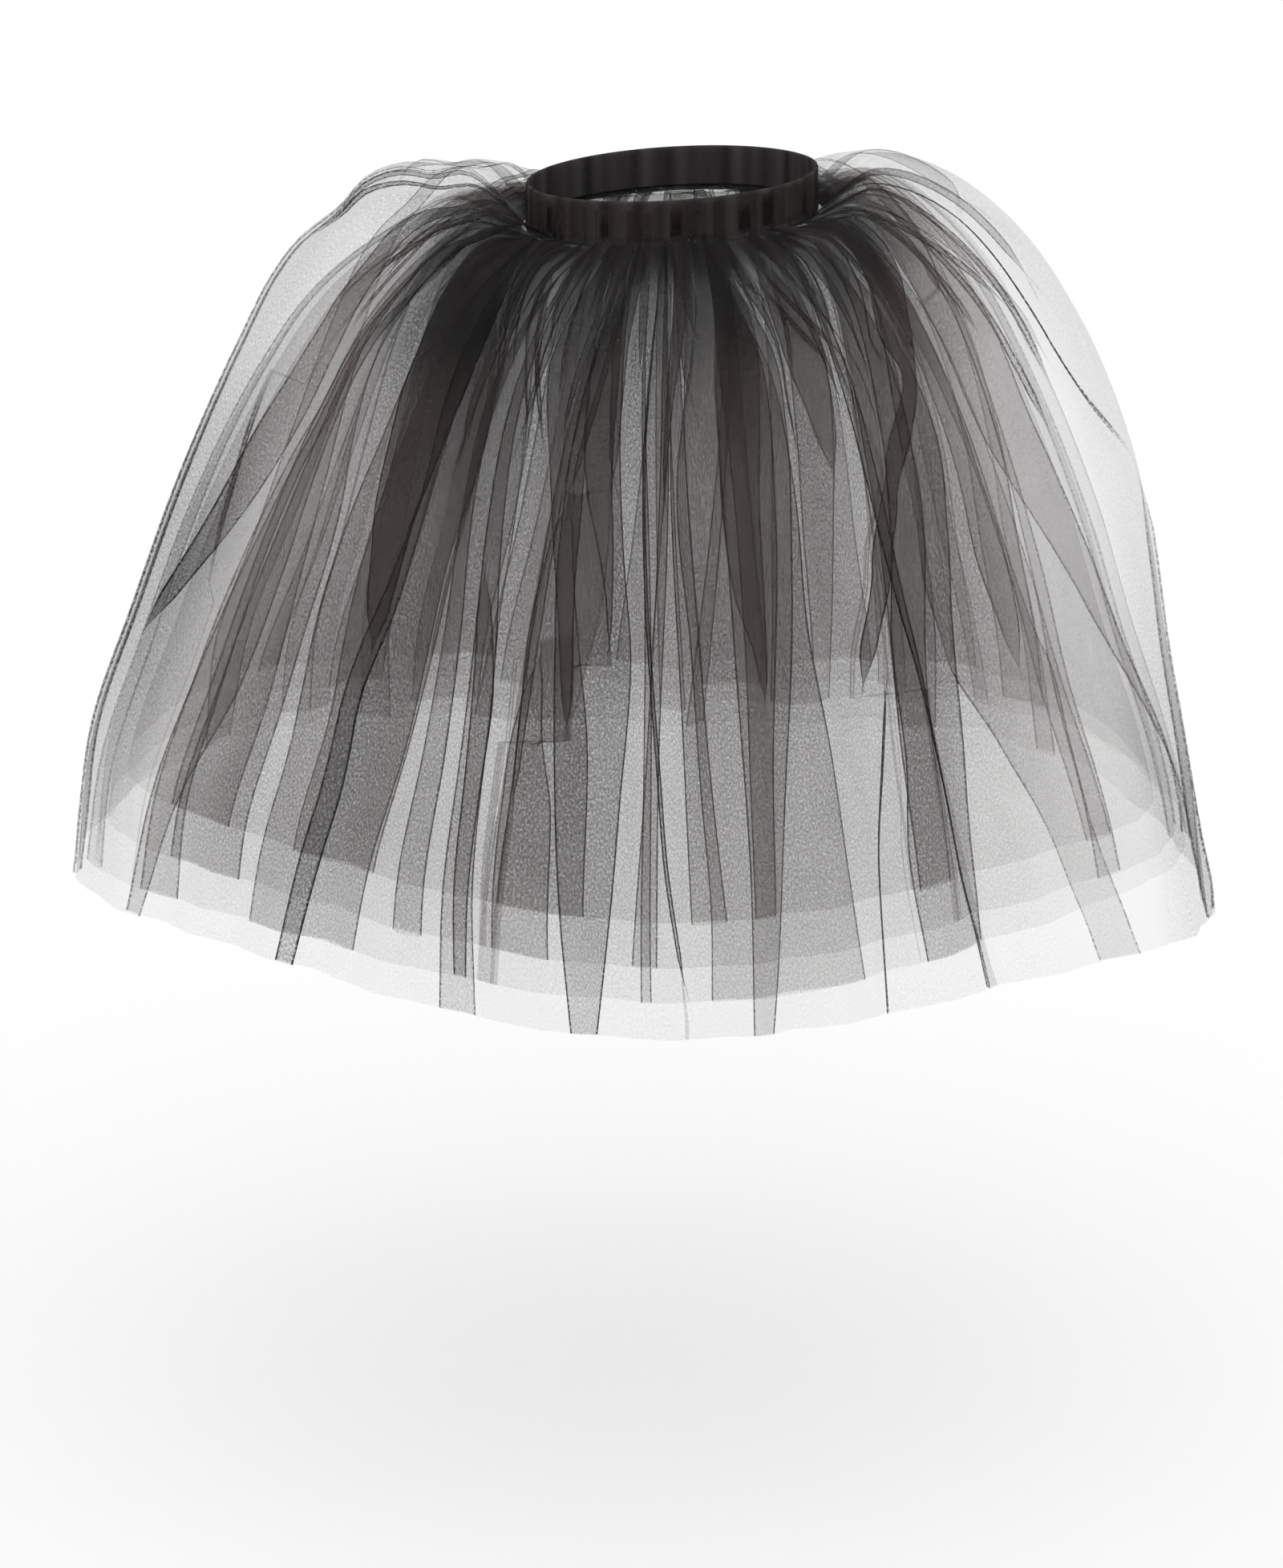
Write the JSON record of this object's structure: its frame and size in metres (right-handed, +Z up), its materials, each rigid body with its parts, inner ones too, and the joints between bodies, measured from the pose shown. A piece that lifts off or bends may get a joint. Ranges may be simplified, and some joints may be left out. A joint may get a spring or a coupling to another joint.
{
  "type": "ballet tutu",
  "caption": "Long soft ballet tutu skirt: gathered sheer tulle layers hanging in a bell from a narrow elastic waist casing, open at waist and hem.",
  "frame": {"origin": "middle of the waist opening, level with the top of the waist casing", "axes": "+Z up, the front of the skirt faces -Y, +X to the right as seen from the front"},
  "size_m": [0.8033, 0.6727, 0.5326],
  "materials": {
    "tulle": "sheer black nylon net, matte",
    "elastic": "black woven elastic, matte"
  },
  "bodies": {
    "root": {"waist_elastic": "elastic", "waist_casing": "tulle", "tulle_layer_top_front": "tulle", "tulle_layer_top_back": "tulle", "tulle_layer_second_front": "tulle", "tulle_layer_second_back": "tulle", "tulle_layer_third_front": "tulle", "tulle_layer_third_back": "tulle", "tulle_layer_under_front": "tulle", "tulle_layer_under_back": "tulle"}
  },
  "joints": []
}
